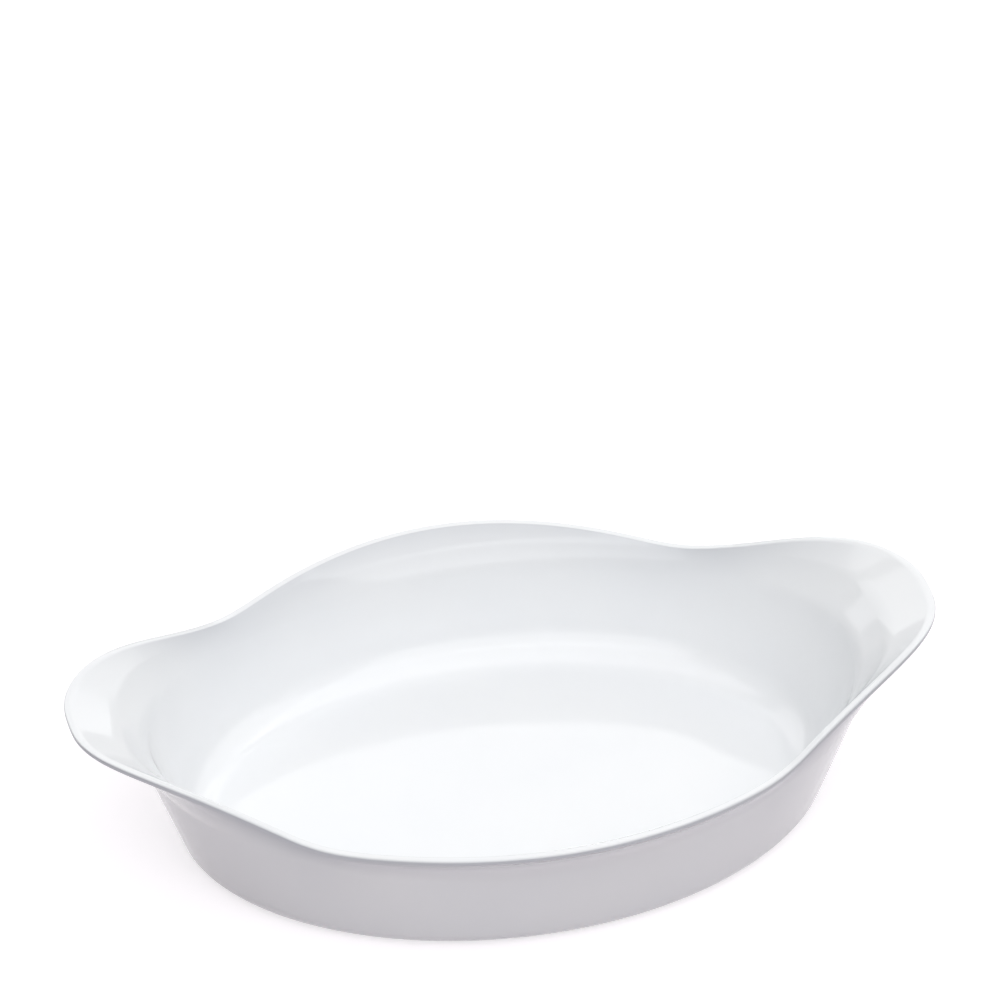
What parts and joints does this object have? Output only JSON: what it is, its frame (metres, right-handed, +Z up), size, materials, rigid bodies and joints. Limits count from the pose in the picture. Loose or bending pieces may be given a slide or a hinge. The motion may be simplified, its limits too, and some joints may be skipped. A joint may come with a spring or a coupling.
{
  "type": "roasting dish",
  "caption": "Shallow oval oven dish of white opal glass whose rim swells into a raised wing handle at each end.",
  "frame": {"origin": "centre of the foot, on the surface that the dish stands on", "axes": "+X along the dish towards one wing, +Y across it, +Z up out of the open top"},
  "size_m": [0.32, 0.2, 0.0665],
  "materials": {
    "opal_glass": "white opal glass, pressed and fire polished, glossy all over"
  },
  "bodies": {
    "root": {"dish": "opal_glass"}
  },
  "joints": []
}
